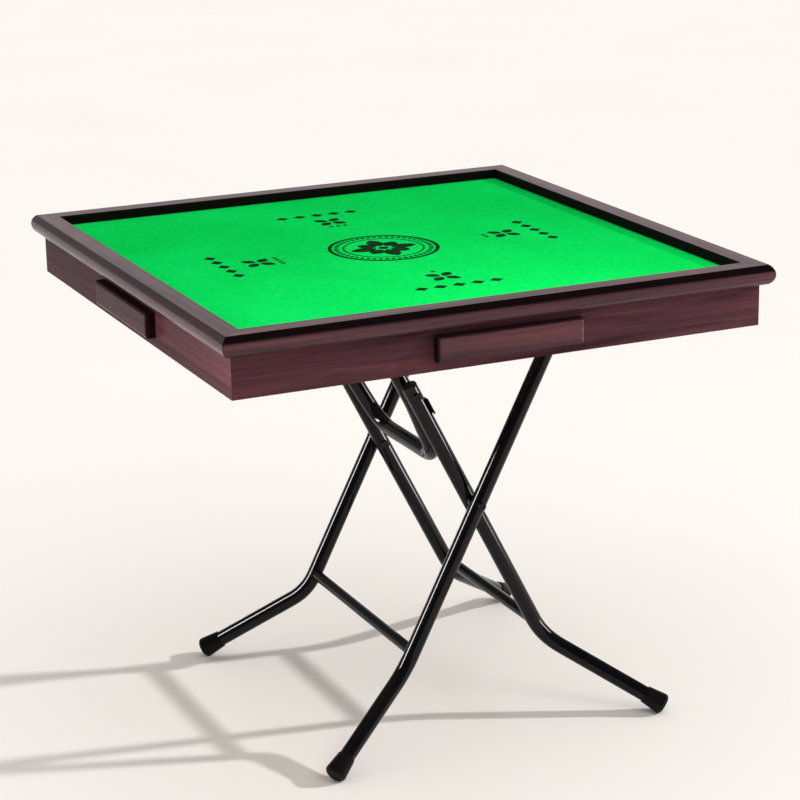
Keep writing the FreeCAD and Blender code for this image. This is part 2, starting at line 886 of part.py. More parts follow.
group("inner_leg_plugs", [top_plug("inner_plug_" + name, hand) for name, hand in ends])


def knee_plate(label, hand):
    # Flat plate welded along the leg's upper side, just below the knee
    plate = doc.addObject("Part::Box", label)
    plate.setExpression("Length", "sizes.knee_plate_thick")
    plate.setExpression("Width", "sizes.knee_plate_width")
    plate.setExpression("Height", "sizes.knee_plate_length")
    turn = FreeCAD.Rotation(Vector(0, 1, 0), -lean.value)
    start = -(size("knee_plate_start").value + size("knee_plate_length").value)
    offset = Vector(tube_radius.value + size("knee_plate_gap").value, 0, start)
    edge = hand * inner_y.value - size("knee_plate_width").value / 2
    corner = Vector(knee_x.value, edge, knee_z) + turn.multVec(offset)
    plate.Placement = FreeCAD.Placement(corner, turn)
    return plate


group("knee_plates", [knee_plate("knee_plate_" + name, hand) for name, hand in ends])

doc.recompute()

faults = []
for piece in doc.Objects:
    if "Invalid" in piece.State or "Error" in piece.State:
        faults.append("%s is %s" % (piece.Label, piece.State))
for piece in parts:
    if piece.Shape.isNull() or not piece.Shape.isValid() or not piece.Shape.Solids:
        faults.append(piece.Label + " has no sound shape")
if faults:
    raise RuntimeError("; ".join(faults))

os.makedirs("parts", exist_ok=True)
for piece in parts:
    piece.Shape.exportStep("parts/%s.step" % piece.Label)
    room = piece.Shape.BoundBox
    print("%-28s solids %d  volume %10.0f  z %.1f to %.1f" % (
        piece.Label, len(piece.Shape.Solids), piece.Shape.Volume, room.ZMin, room.ZMax))
print("pieces written:", len(parts))
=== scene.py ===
import math
import random
import bmesh
import bpy
from mathutils import Matrix, Vector, noise


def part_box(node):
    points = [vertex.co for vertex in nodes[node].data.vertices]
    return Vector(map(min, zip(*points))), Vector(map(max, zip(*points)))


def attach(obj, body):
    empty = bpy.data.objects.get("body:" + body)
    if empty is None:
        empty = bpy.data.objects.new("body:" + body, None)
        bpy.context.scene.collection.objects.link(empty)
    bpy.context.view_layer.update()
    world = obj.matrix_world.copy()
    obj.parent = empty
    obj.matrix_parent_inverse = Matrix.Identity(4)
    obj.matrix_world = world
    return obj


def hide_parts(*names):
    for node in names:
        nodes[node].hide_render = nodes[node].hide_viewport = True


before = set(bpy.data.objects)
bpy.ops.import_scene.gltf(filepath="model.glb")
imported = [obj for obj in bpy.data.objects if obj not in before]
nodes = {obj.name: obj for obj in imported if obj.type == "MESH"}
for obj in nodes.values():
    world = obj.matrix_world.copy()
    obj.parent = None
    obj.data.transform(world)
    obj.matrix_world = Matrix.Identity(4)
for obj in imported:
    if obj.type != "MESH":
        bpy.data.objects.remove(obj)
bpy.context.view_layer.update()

# Square folding games table: felted top, lacquered rails and aprons, four drawers, crossed black legs
sides = ("front", "right", "back", "left")
fullTurn = 2 * math.pi
random.seed(11)
print("frame loaded,", len(nodes), "nodes")


# Small helpers for shader nodes
def startMaterial(name):
    material = bpy.data.materials.new(name)
    material.use_nodes = True
    tree = material.node_tree
    return material, tree, tree.nodes["Principled BSDF"]


def setSockets(node, values):
    for key, value in values.items():
        node.inputs[key].default_value = value


def add(tree, kind, settings=None, sockets=None):
    node = tree.nodes.new(kind)
    for key, value in (settings or {}).items():
        setattr(node, key, value)
    setSockets(node, sockets or {})
    return node


def cloudy(tree, stretch, detail=3.0, roughness=0.55, distortion=0.0):
    # noise in the table's own metres, stretched per axis
    place = add(tree, "ShaderNodeTexCoord")
    mapping = add(tree, "ShaderNodeMapping", sockets={"Scale": stretch})
    texture = add(tree, "ShaderNodeTexNoise", sockets={
        "Scale": 1.0, "Detail": detail, "Roughness": roughness, "Distortion": distortion})
    tree.links.new(place.outputs["Object"], mapping.inputs["Vector"])
    tree.links.new(mapping.outputs["Vector"], texture.inputs["Vector"])
    return texture.outputs[0]


def grained(tree, grain, run, cross, **more):
    # run is the scale along the grain, cross the scale across it
    stretch = {"x": (run, cross, cross), "y": (cross, run, cross), "z": (cross, cross, run)}[grain]
    return cloudy(tree, stretch, **more)


def even(tree, scale, **more):
    return cloudy(tree, (scale,) * 3, **more)


def ramp(tree, source, spots, colours):
    node = add(tree, "ShaderNodeValToRGB")
    band = node.color_ramp
    while len(band.elements) < len(spots):
        band.elements.new(0.5)
    for element, spot, colour in zip(band.elements, spots, colours):
        element.position = spot
        element.color = (*colour, 1.0)
    tree.links.new(source, node.inputs["Fac"])
    return node.outputs["Color"]


def spread(tree, source, low, high, newLow, newHigh):
    node = add(tree, "ShaderNodeMapRange", sockets={
        "From Min": low, "From Max": high, "To Min": newLow, "To Max": newHigh})
    tree.links.new(source, node.inputs["Value"])
    return node.outputs["Result"]


def sums(tree, kind, first, second):
    node = add(tree, "ShaderNodeMath", {"operation": kind})
    for index, item in enumerate((first, second)):
        if isinstance(item, (int, float)):
            node.inputs[index].default_value = item
        else:
            tree.links.new(item, node.inputs[index])
    return node.outputs[0]


def sizeOf(tree, source):
    return sums(tree, "ABSOLUTE", source, 0.0)


def weighed(tree, sources, weights):
    total = None
    for source, weight in zip(sources, weights):
        share = sums(tree, "MULTIPLY", source, weight)
        total = share if total is None else sums(tree, "ADD", total, share)
    return total


def axes(tree, source):
    parts = add(tree, "ShaderNodeSeparateXYZ")
    tree.links.new(source, parts.inputs[0])
    return parts.outputs


def mixColours(tree, factor, first, second):
    node = add(tree, "ShaderNodeMix", {"data_type": "RGBA"})
    for index, item in ((0, factor), (6, first), (7, second)):
        if isinstance(item, (int, float)):
            node.inputs[index].default_value = item
        elif isinstance(item, tuple):
            node.inputs[index].default_value = (*item, 1.0)
        else:
            tree.links.new(item, node.inputs[index])
    return node.outputs[2]


def roughen(tree, shader, height, depth, strength, under=None):
    bump = add(tree, "ShaderNodeBump", sockets={"Strength": strength, "Distance": depth})
    tree.links.new(height, bump.inputs["Height"])
    if under is not None:
        tree.links.new(under, bump.inputs["Normal"])
    tree.links.new(bump.outputs["Normal"], shader.inputs["Normal"])


# Where nearly all of a noise lies, and the cosines between which an edge counts as bent
noiseSpan = (0.3, 0.7)
edgeBend = {"samples": 4, "cosines": (0.995, 0.82)}


def roundedNormal(tree, radius):
    bevel = add(tree, "ShaderNodeBevel", {"samples": edgeBend["samples"]}, {"Radius": radius})
    return bevel.outputs["Normal"]


def bentAway(tree, rounded):
    # how far each spot is bent away from its flat face
    facing = add(tree, "ShaderNodeNewGeometry")
    dot = add(tree, "ShaderNodeVectorMath", {"operation": "DOT_PRODUCT"})
    tree.links.new(rounded, dot.inputs[0])
    tree.links.new(facing.outputs["Normal"], dot.inputs[1])
    return spread(tree, dot.outputs["Value"], *edgeBend["cosines"], 0.0, 1.0)


# Lacquered mahogany of rails, aprons and drawer fronts; keys x and y are the grain's direction
lacquer = {
    "dark": (0.034, 0.0145, 0.0195), "body": (0.074, 0.0290, 0.0365), "warm": (0.126, 0.0430, 0.0480),
    # the darkest colour below is painted shade for rails and drawer fronts; edge is rubbed lacquer with a
    # painted highlight
    "edge": (0.24, 0.050, 0.046), "pore": (0.012, 0.0030, 0.0040), "paintedShade": (0.0045, 0.0020, 0.0021),
    "bands": {"run": 1.6, "cross": 34.0, "detail": 4.0, "roughness": 0.60, "distortion": 0.9},
    "fibres": {"run": 7.0, "cross": 330.0, "roughness": 0.65, "distortion": 0.2},
    "pores": {"run": 38.0, "cross": 1500.0, "detail": 2.0, "roughness": 0.5},
    "weights": (0.72, 0.28), "spots": (0.36, 0.50, 0.66),
    "poreSpan": (0.62, 0.72), "poreStrength": 0.75,
    "edgeRadius": 0.0014, "rub": {"scale": 22.0, "roughness": 0.6}, "rubSpan": (0.35, 0.65),
    "rubShare": (0.25, 0.85),
    "mitreLine": (0.0002, 0.0007), "mitreDark": 0.8, "mitreUnworn": (0.0020, 0.0045),
    # where the painted shade lies: the drawer fronts' rounded edges, the rails' shoulders and inner sides
    "faceTurn": (0.72, 0.97), "faceClear": 0.12,
    "noseReach": (0.424, 0.436), "noseTurn": (0.36, 0.20), "noseClear": {"x": 0.0, "y": 0.35},
    "flatTurn": (0.94, 0.99), "innerMatt": 0.85,
    "shine": {"run": 12.0, "cross": 60.0}, "roughness": (0.15, 0.26),
    "specular": {"apron": {"x": 0.01, "y": 0.01}, "rail": {"x": 0.17, "y": 0.17},
                 "drawer": {"x": 0.12, "y": 0.03}},
    "bumpDepth": 0.00012, "bumpStrength": 0.18,
}


def paintedShadeMask(tree, grain, kind):
    # painted shade, dark as under a dim ceiling, lies on the rails' shoulders and inner sides and on the
    # drawer fronts' rounded edges: the first mask is 1 where there is none, the second is 1 on the rails'
    # inner sides
    turned = axes(tree, add(tree, "ShaderNodeNewGeometry").outputs["Normal"])
    if kind == "drawer":
        straight = sizeOf(tree, turned[1 if grain == "x" else 0])
        return spread(tree, straight, *lacquer["faceTurn"], lacquer["faceClear"], 1.0), None
    place = axes(tree, add(tree, "ShaderNodeTexCoord").outputs["Object"])
    reach = sums(tree, "MAXIMUM", sizeOf(tree, place[0]), sizeOf(tree, place[1]))
    outward = spread(tree, reach, *lacquer["noseReach"], 0.0, 1.0)
    shoulder = spread(tree, turned[2], *lacquer["noseTurn"], lacquer["noseClear"][grain], 1.0)
    nose = sums(tree, "MULTIPLY", outward, shoulder)
    flat = spread(tree, turned[2], *lacquer["flatTurn"], 0.0, 1.0)
    inner = sums(tree, "MULTIPLY", sums(tree, "SUBTRACT", 1.0, outward), sums(tree, "SUBTRACT", 1.0, flat))
    return sums(tree, "MAXIMUM", nose, flat), inner


def makeLacquer(name, grain, kind):
    material, tree, shader = startMaterial(name)
    bands = grained(tree, grain, **lacquer["bands"])
    fibres = grained(tree, grain, **lacquer["fibres"])
    pores = grained(tree, grain, **lacquer["pores"])
    both = weighed(tree, (bands, fibres), lacquer["weights"])
    colour = ramp(tree, both, lacquer["spots"], [lacquer[tone] for tone in ("dark", "body", "warm")])
    poreMask = spread(tree, pores, *lacquer["poreSpan"], 0.0, lacquer["poreStrength"])
    colour = mixColours(tree, poreMask, colour, lacquer["pore"])
    rounded = roundedNormal(tree, lacquer["edgeRadius"])
    # lighter red on bent edges, in patches: rubbed lacquer and a painted highlight
    rub = spread(tree, even(tree, **lacquer["rub"]), *lacquer["rubSpan"], *lacquer["rubShare"])
    worn = sums(tree, "MULTIPLY", bentAway(tree, rounded), rub)
    if kind == "rail":
        # a hairline where two rails meet at the corner, and neither rubbed edge nor painted highlight there
        place = axes(tree, add(tree, "ShaderNodeTexCoord").outputs["Object"])
        gap = sizeOf(tree, sums(tree, "SUBTRACT", sizeOf(tree, place[0]), sizeOf(tree, place[1])))
        worn = sums(tree, "MULTIPLY", worn, spread(tree, gap, *lacquer["mitreUnworn"], 0.0, 1.0))
        hairline = spread(tree, gap, *lacquer["mitreLine"], lacquer["mitreDark"], 0.0)
        colour = mixColours(tree, hairline, colour, lacquer["pore"])
    inner = None
    if kind != "apron":
        # painted shade on the rails' shoulders and inner sides and on the drawer fronts' rounded edges
        clear, inner = paintedShadeMask(tree, grain, kind)
        colour = mixColours(tree, clear, lacquer["paintedShade"], colour)
    # rubbed lacquer and painted highlight on the bent edges
    colour = mixColours(tree, worn, colour, lacquer["edge"])
    tree.links.new(colour, shader.inputs["Base Color"])
    shine = spread(tree, grained(tree, grain, **lacquer["shine"]), *noiseSpan, *lacquer["roughness"])
    if inner is not None:
        # the rails' inner sides are left matt
        shine = sums(tree, "MAXIMUM", shine, sums(tree, "MULTIPLY", inner, lacquer["innerMatt"]))
    tree.links.new(shine, shader.inputs["Roughness"])
    setSockets(shader, {"Specular IOR Level": lacquer["specular"][kind][grain]})
    height = sums(tree, "SUBTRACT", fibres, poreMask)
    roughen(tree, shader, height, lacquer["bumpDepth"], lacquer["bumpStrength"], rounded)
    return material


# Plain sanded wood under the top and in the drawers
plainWood = {
    "pale": (0.56, 0.39, 0.22), "body": (0.46, 0.30, 0.155), "dark": (0.33, 0.195, 0.095),
    "bands": {"run": 1.9, "detail": 4.0, "roughness": 0.62, "distortion": 1.1},
    "narrow": 46.0, "wide": 15.0, "fibres": {"run": 9.0, "cross": 420.0, "roughness": 0.6},
    "weights": (0.7, 0.3), "spots": (0.34, 0.50, 0.64), "edgeRadius": 0.0008, "edgeDark": 0.35,
    "roughness": (0.55, 0.75), "bumpDepth": 0.00025, "bumpStrength": 0.3,
}


def makePlainWood(name, grain, bandWidth):
    material, tree, shader = startMaterial(name)
    bands = grained(tree, grain, cross=plainWood[bandWidth], **plainWood["bands"])
    fibres = grained(tree, grain, **plainWood["fibres"])
    both = weighed(tree, (bands, fibres), plainWood["weights"])
    colour = ramp(tree, both, plainWood["spots"], [plainWood[tone] for tone in ("dark", "body", "pale")])
    rounded = roundedNormal(tree, plainWood["edgeRadius"])
    soiled = sums(tree, "MULTIPLY", bentAway(tree, rounded), plainWood["edgeDark"])
    colour = mixColours(tree, soiled, colour, plainWood["dark"])
    tree.links.new(colour, shader.inputs["Base Color"])
    dull = spread(tree, fibres, *noiseSpan, *plainWood["roughness"])
    tree.links.new(dull, shader.inputs["Roughness"])
    roughen(tree, shader, both, plainWood["bumpDepth"], plainWood["bumpStrength"], rounded)
    return material


# Gloss black paint of tubes and bolts
blackPaint = {
    "body": (0.0030, 0.0030, 0.0042), "thin": (0.0060, 0.0058, 0.0066), "edge": (0.028, 0.027, 0.026),
    "patches": {"scale": 26.0, "detail": 4.0, "roughness": 0.6}, "spots": (0.35, 0.75),
    "edgeRadius": 0.0006, "edgeShare": 0.5, "shine": {"scale": 70.0}, "roughness": (0.08, 0.11),
    "specular": 0.20, "grit": {"scale": 420.0, "detail": 2.0}, "bumpDepth": 0.00003, "bumpStrength": 0.06,
}


def makeBlackPaint(name):
    material, tree, shader = startMaterial(name)
    patches = even(tree, **blackPaint["patches"])
    rounded = roundedNormal(tree, blackPaint["edgeRadius"])
    colour = ramp(tree, patches, blackPaint["spots"], (blackPaint["body"], blackPaint["thin"]))
    thinned = sums(tree, "MULTIPLY", bentAway(tree, rounded), blackPaint["edgeShare"])
    colour = mixColours(tree, thinned, colour, blackPaint["edge"])
    tree.links.new(colour, shader.inputs["Base Color"])
    shine = spread(tree, even(tree, **blackPaint["shine"]), *noiseSpan, *blackPaint["roughness"])
    tree.links.new(shine, shader.inputs["Roughness"])
    setSockets(shader, {"Specular IOR Level": blackPaint["specular"]})
    grit = even(tree, **blackPaint["grit"])
    roughen(tree, shader, grit, blackPaint["bumpDepth"], blackPaint["bumpStrength"], rounded)
    return material


# Zinc-plated steel of brackets, pins and screws
zinc = {
    "body": (0.50, 0.50, 0.49), "dull": (0.34, 0.335, 0.32), "roughness": (0.26, 0.46),
    "patches": {"scale": 90.0, "detail": 4.0, "roughness": 0.65}, "spots": (0.35, 0.65),
    "streaks": {"run": 30.0, "cross": 700.0, "detail": 2.0},
    "edgeRadius": 0.0005, "bumpDepth": 0.00003, "bumpStrength": 0.15,
}


def makeZinc(name):
    material, tree, shader = startMaterial(name)
    patches = even(tree, **zinc["patches"])
    streaks = grained(tree, "x", **zinc["streaks"])
    colour = ramp(tree, patches, zinc["spots"], (zinc["dull"], zinc["body"]))
    tree.links.new(colour, shader.inputs["Base Color"])
    setSockets(shader, {"Metallic": 1.0})
    tree.links.new(spread(tree, streaks, *noiseSpan, *zinc["roughness"]), shader.inputs["Roughness"])
    rounded = roundedNormal(tree, zinc["edgeRadius"])
    roughen(tree, shader, streaks, zinc["bumpDepth"], zinc["bumpStrength"], rounded)
    return material


# Rubber cups and black moulded plastic
moulding = {"patches": {"scale": 40.0, "detail": 4.0, "roughness": 0.6}, "spots": (0.35, 0.70),
            "edgeRadius": 0.0008, "bumpDepth": 0.00008}
rubberLook = {"body": (0.0032, 0.0032, 0.0036), "dusty": (0.0070, 0.0068, 0.0066),
              "roughness": (0.40, 0.60), "pebble": 900.0, "bump": 0.35, "specular": 0.14}
plasticLook = {"body": (0.007, 0.007, 0.008), "dusty": (0.014, 0.014, 0.014),
               "roughness": (0.34, 0.48), "pebble": 1500.0, "bump": 0.2, "specular": 0.30}


def makeMoulding(name, look):
    material, tree, shader = startMaterial(name)
    patches = even(tree, **moulding["patches"])
    colour = ramp(tree, patches, moulding["spots"], (look["body"], look["dusty"]))
    tree.links.new(colour, shader.inputs["Base Color"])
    tree.links.new(spread(tree, patches, *noiseSpan, *look["roughness"]), shader.inputs["Roughness"])
    setSockets(shader, {"Specular IOR Level": look["specular"]})
    rounded = roundedNormal(tree, moulding["edgeRadius"])
    roughen(tree, shader, even(tree, look["pebble"]), moulding["bumpDepth"], look["bump"], rounded)
    return material


# Green play cloth
felt = {
    "deep": (0.0008, 0.345, 0.038), "body": (0.0016, 0.475, 0.068), "bright": (0.004, 0.600, 0.112),
    "fuzz": {"scale": 820.0, "detail": 4.0, "roughness": 0.7, "distortion": 0.6},
    "tufts": {"scale": 170.0, "roughness": 0.6, "distortion": 0.4},
    "nap": {"run": 3.2, "cross": 5.0, "distortion": 0.3},
    "weights": (0.45, 0.30, 0.25), "spots": (0.34, 0.50, 0.66),
    "roughness": 0.95, "sheen": 0.02, "sheenRoughness": 0.45, "sheenTint": (0.15, 1.0, 0.40, 1.0),
    "tuftHeight": 0.6, "bumpDepth": 0.0005, "bumpStrength": 0.55,
    "cells": 150, "wave": 0.00010, "waveScale": 14, "rippleScale": 60, "rippleShare": 0.5,
    "waveLayer": 0.3, "rippleLayer": 4.1, "rimDrop": 0.0026,
}


def makeFelt(name):
    material, tree, shader = startMaterial(name)
    fuzz = even(tree, **felt["fuzz"])
    tufts = even(tree, **felt["tufts"])
    nap = grained(tree, "y", **felt["nap"])
    both = weighed(tree, (fuzz, tufts, nap), felt["weights"])
    colour = ramp(tree, both, felt["spots"], [felt[tone] for tone in ("deep", "body", "bright")])
    tree.links.new(colour, shader.inputs["Base Color"])
    setSockets(shader, {"Roughness": felt["roughness"], "Sheen Weight": felt["sheen"],
                        "Sheen Roughness": felt["sheenRoughness"], "Sheen Tint": felt["sheenTint"],
                        "Specular IOR Level": 0.0})
    height = sums(tree, "ADD", fuzz, sums(tree, "MULTIPLY", tufts, felt["tuftHeight"]))
    roughen(tree, shader, height, felt["bumpDepth"], felt["bumpStrength"])
    return material


# Dark ink of the marks printed on the cloth
ink = {"body": (0.004, 0.016, 0.006), "worn": (0.006, 0.050, 0.014), "spots": (0.40, 0.75),
       "patches": {"scale": 260.0, "roughness": 0.65}, "roughness": 0.92, "specular": 0.03,
       "bumpDepth": 0.0004, "bumpStrength": 0.5}


def makeInk(name):
    material, tree, shader = startMaterial(name)
    fuzz = even(tree, **felt["fuzz"])
    patches = even(tree, **ink["patches"])
    colour = ramp(tree, patches, ink["spots"], (ink["body"], ink["worn"]))
    tree.links.new(colour, shader.inputs["Base Color"])
    setSockets(shader, {"Roughness": ink["roughness"], "Specular IOR Level": ink["specular"]})
    roughen(tree, shader, fuzz, ink["bumpDepth"], ink["bumpStrength"])
    return material


apronAlongX = makeLacquer("lacqueredWoodAcross", "x", "apron")
apronAlongY = makeLacquer("lacqueredWoodDeep", "y", "apron")
railAlongX = makeLacquer("lacqueredRailAcross", "x", "rail")
railAlongY = makeLacquer("lacqueredRailDeep", "y", "rail")
drawerAlongX = makeLacquer("lacqueredDrawerAcross", "x", "drawer")
drawerAlongY = makeLacquer("lacqueredDrawerDeep", "y", "drawer")
plainAlongX = makePlainWood("plainWoodAcross", "x", "narrow")
plainAlongY = makePlainWood("plainWoodDeep", "y", "narrow")
plainUpright = makePlainWood("plainWoodUpright", "z", "narrow")
boardFace = makePlainWood("plainBoard", "y", "wide")
blackTube = makeBlackPaint("glossBlackPaint")
zincPlate = makeZinc("zincPlate")
rubber = makeMoulding("mattRubber", rubberLook)
blackPlastic = makeMoulding("mattPlastic", plasticLook)
greenFelt = makeFelt("greenFelt")
feltInk = makeInk("feltInk")
print("materials made")


def dress(names, material):
    for name in names:
        piece = nodes[name]
        piece.data.materials.clear()
        piece.data.materials.append(material)


tubeWork = ["outer_frame_tube", "inner_leg_front", "inner_leg_back", "link_bow", "outer_stretcher",
            "inner_stretcher", "pivot_bolts", "knee_bolts", "knee_plates"]
for side in sides:
    across = side in ("front", "back")
    lengthways, crossways = (plainAlongX, plainAlongY) if across else (plainAlongY, plainAlongX)
    dress(["rail_" + side], railAlongX if across else railAlongY)
    dress(["apron_" + side], apronAlongX if across else apronAlongY)
    dress(["drawer_%s_face" % side], drawerAlongX if across else drawerAlongY)
    dress(["drawer_%s_back" % side, "drawer_%s_bottom" % side], lengthways)
    for hand in ("left", "right"):
        dress(["drawer_%s_side_%s" % (side, hand), "runner_%s_%s" % (side, hand)], crossways)
dress(["top_board"], boardFace)
dress(["corner_blocks"], plainUpright)
dress(tubeWork, blackTube)
dress(["link_bracket_front", "link_bracket_back", "hinge_pins"], zincPlate)
dress(["outer_foot_front", "outer_foot_back", "inner_foot_front", "inner_foot_back"], rubber)
dress(["cradle_front", "cradle_back", "inner_leg_plugs"], blackPlastic)
print("solids dressed")


def meshFrom(name, form):
    mesh = bpy.data.meshes.new(name)
    form.to_mesh(mesh)
    form.free()
    return mesh


def newPiece(name, mesh, material, body, smooth=True):
    mesh.update()
    if smooth:
        mesh.shade_smooth()
    mesh.materials.clear()
    mesh.materials.append(material)
    piece = bpy.data.objects.new(name, mesh)
    bpy.context.scene.collection.objects.link(piece)
    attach(piece, body)
    return piece


# Felt: a laid sheet with a little wave in it, turned down at the rim
def feltLift(x, y):
    scale, fine = felt["waveScale"], felt["rippleScale"]
    lift = noise.noise(Vector((x * scale, y * scale, felt["waveLayer"]))) * felt["wave"]
    ripple = noise.noise(Vector((x * fine, y * fine, felt["rippleLayer"])))
    return lift + ripple * felt["wave"] * felt["rippleShare"]


def makeFeltSheet():
    low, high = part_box("felt_top")
    half = (high.x - low.x) / 2
    form = bmesh.new()
    bmesh.ops.create_grid(form, x_segments=felt["cells"], y_segments=felt["cells"], size=half)
    for vert in form.verts:
        vert.co.z = high.z + feltLift(vert.co.x, vert.co.y) - felt["wave"]
    # the rim's faces are made one by one, so that they come in the same order each run
    rim = [tuple(edge.verts) for edge in form.edges if edge.is_boundary]
    turned = {}
    for vert in (vert for pair in rim for vert in pair):
        if vert not in turned:
            turned[vert] = form.verts.new((vert.co.x, vert.co.y, vert.co.z - felt["rimDrop"]))
    for a, b in rim:
        form.faces.new((a, b, turned[b], turned[a]))
    bmesh.ops.recalc_face_normals(form, faces=form.faces)
    sheet = newPiece("play_felt", meshFrom("feltSheet", form), greenFelt, "table_top")
    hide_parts("felt_top")
    return sheet, half, high.z


feltSheet, feltHalf, feltLevel = makeFeltSheet()

# Printed marks: a dashed ring with a rosette in the middle; a flower, dots and lozenges at each seat
marks = {
    "lift": 0.00025, "ringOuter": 0.088, "ringInner": 0.082, "ringSteps": 120,
    "fineOuter": 0.0645, "fineInner": 0.062, "fineSteps": 96,
    "dashOuter": 0.0785, "dashInner": 0.0715, "dashes": 48, "dashShare": 0.55, "dashSteps": 3,
    "petals": 8, "petalStart": 0.012, "petalReach": 0.056, "shortPetal": 0.8, "petalWidth": 0.0125,
    "petalSteps": 10, "petalRound": 0.8, "hub": 0.008, "hubSteps": 20,
    "seats": 4, "seatReach": 0.212, "leaves": 4, "leafStart": 0.004, "leafReach": 0.029, "leafWidth": 0.0082,
    "dotGap": 0.0125, "dotReach": 0.034, "dotRadius": 0.0038, "dotSteps": 14,
    "rowReach": 0.268, "rowSpan": 0.146, "lozenges": 5, "lozengeLong": 0.023, "lozengeWide": 0.020,
}


def makeMarks():
    form = bmesh.new()

    def shape(points):
        form.faces.new([form.verts.new((x, y, 0.0)) for x, y in points])

    def onCircle(radius, angle):
        return radius * math.cos(angle), radius * math.sin(angle)

    def ringSlice(inner, outer, start, end, steps):
        spots = [start + (end - start) * i / steps for i in range(steps + 1)]
        for a, b in zip(spots, spots[1:]):
            shape([onCircle(inner, a), onCircle(outer, a), onCircle(outer, b), onCircle(inner, b)])

    def petal(middle, angle, near, far, width):
        # pointed leaf from near to far along the angle
        along = Vector(onCircle(1.0, angle))
        wide = Vector((-along.y, along.x))
        steps = marks["petalSteps"]
        edge = []
        for i in range(steps + 1):
            bulge = math.sin(math.pi * i / steps) ** marks["petalRound"]
            edge.append((near + (far - near) * i / steps, width * bulge))
        points = [along * d + wide * w for d, w in edge] + [along * d - wide * w for d, w in edge[-2:0:-1]]
        shape([(middle.x + point.x, middle.y + point.y) for point in points])

    def disc(middle, radius, steps):
        rim = [onCircle(radius, fullTurn * i / steps) for i in range(steps)]
        shape([(middle.x + x, middle.y + y) for x, y in rim])

    centre = Vector((0.0, 0.0))
    ringSlice(marks["ringInner"], marks["ringOuter"], 0, fullTurn, marks["ringSteps"])
    ringSlice(marks["fineInner"], marks["fineOuter"], 0, fullTurn, marks["fineSteps"])
    dashTurn = fullTurn / marks["dashes"]
    for i in range(marks["dashes"]):
        start = dashTurn * i
        end = start + marks["dashShare"] * dashTurn
        ringSlice(marks["dashInner"], marks["dashOuter"], start, end, marks["dashSteps"])
    for i in range(marks["petals"]):
        far = marks["petalReach"] * (1.0 if i % 2 == 0 else marks["shortPetal"])
        petal(centre, fullTurn * i / marks["petals"], marks["petalStart"], far, marks["petalWidth"])
    disc(centre, marks["hub"], marks["hubSteps"])
    for seat in range(marks["seats"]):
        turn = -math.pi / 2 + seat * math.pi / 2
        out = Vector(onCircle(1.0, turn))
        aside = Vector((-out.y, out.x))
        middle = out * marks["seatReach"]
        for i in range(marks["leaves"]):
            angle = turn + math.pi / 4 + i * math.pi / 2
            petal(middle, angle, marks["leafStart"], marks["leafReach"], marks["leafWidth"])
        for i in range(seat + 1):
            spot = middle + aside * (i - seat / 2) * marks["dotGap"] - out * marks["dotReach"]
            disc(spot, marks["dotRadius"], marks["dotSteps"])
        for i in range(marks["lozenges"]):
            share = i / (marks["lozenges"] - 1) - 0.5
            spot = out * marks["rowReach"] + aside * share * (marks["rowSpan"] - marks["lozengeLong"])
            long = aside * marks["lozengeLong"] / 2
            wide = out * marks["lozengeWide"] / 2
            shape([(p.x, p.y) for p in (spot - long, spot - wide, spot + long, spot + wide)])
    bmesh.ops.recalc_face_normals(form, faces=form.faces)
    for face in form.faces:
        if face.normal.z < 0:
            face.normal_flip()
    for vert in form.verts:
        vert.co.z = feltLevel + marks["lift"]
    mesh = meshFrom("feltMarks", form)
    return newPiece("felt_marks", mesh, feltInk, "table_top", smooth=False)


feltMarks = makeMarks()
print("felt laid")

# Screws: a low domed head with a cross recess, one mesh for all
screwLook = {
    "radius": 0.0042, "rise": 0.0018, "domePower": 2.6, "slotWide": 0.00055, "slotLong": 0.0023,
    "slotDeep": 0.0011, "rings": 9, "around": 40,
    "bracketInset": 0.008, "bracketShift": 0.002, "bracketDrop": 0.0025, "cradleInset": 0.010,
    "cradleDrop": 0.005, "runnerShares": (0.18, 0.82), "runnerSize": 0.9,
    "blockInset": 0.025, "blockShares": (0.30, 0.72),
}


def makeScrewMesh():
    form = bmesh.new()
    rings = []
    for r in range(1, screwLook["rings"] + 1):
        share = r / screwLook["rings"]
        ring = []
        for a in range(screwLook["around"]):
            angle = fullTurn * a / screwLook["around"]
            x = screwLook["radius"] * share * math.cos(angle)
            y = screwLook["radius"] * share * math.sin(angle)
            z = screwLook["rise"] * (1 - share ** screwLook["domePower"])
            thin, far = sorted((abs(x), abs(y)))
            if thin < screwLook["slotWide"] and far < screwLook["slotLong"]:
                z -= screwLook["slotDeep"]
            ring.append(form.verts.new((x, y, z)))
        rings.append(ring)
    middle = form.verts.new((0, 0, screwLook["rise"] - screwLook["slotDeep"]))
    for a in range(screwLook["around"]):
        b = (a + 1) % screwLook["around"]
        form.faces.new((middle, rings[0][a], rings[0][b]))
        for inner, outer in zip(rings, rings[1:]):
            form.faces.new((inner[a], outer[a], outer[b], inner[b]))
    mesh = meshFrom("screwHead", form)
    mesh.shade_smooth()
    mesh.materials.append(zincPlate)
    return mesh


screwMesh = makeScrewMesh()
screwCount = 0


def putScrew(spot, facing, size=1.0):
    global screwCount
    screwCount += 1
    piece = bpy.data.objects.new("screw_%02d" % screwCount, screwMesh)
    turn = Vector(facing).to_track_quat("Z", "Y").to_matrix().to_4x4()
    spin = Matrix.Rotation(random.uniform(0, math.pi), 4, "Z")
    piece.matrix_world = Matrix.Translation(spot) @ turn @ spin @ Matrix.Scale(size, 4)
    bpy.context.scene.collection.objects.link(piece)
    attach(piece, "table_top")


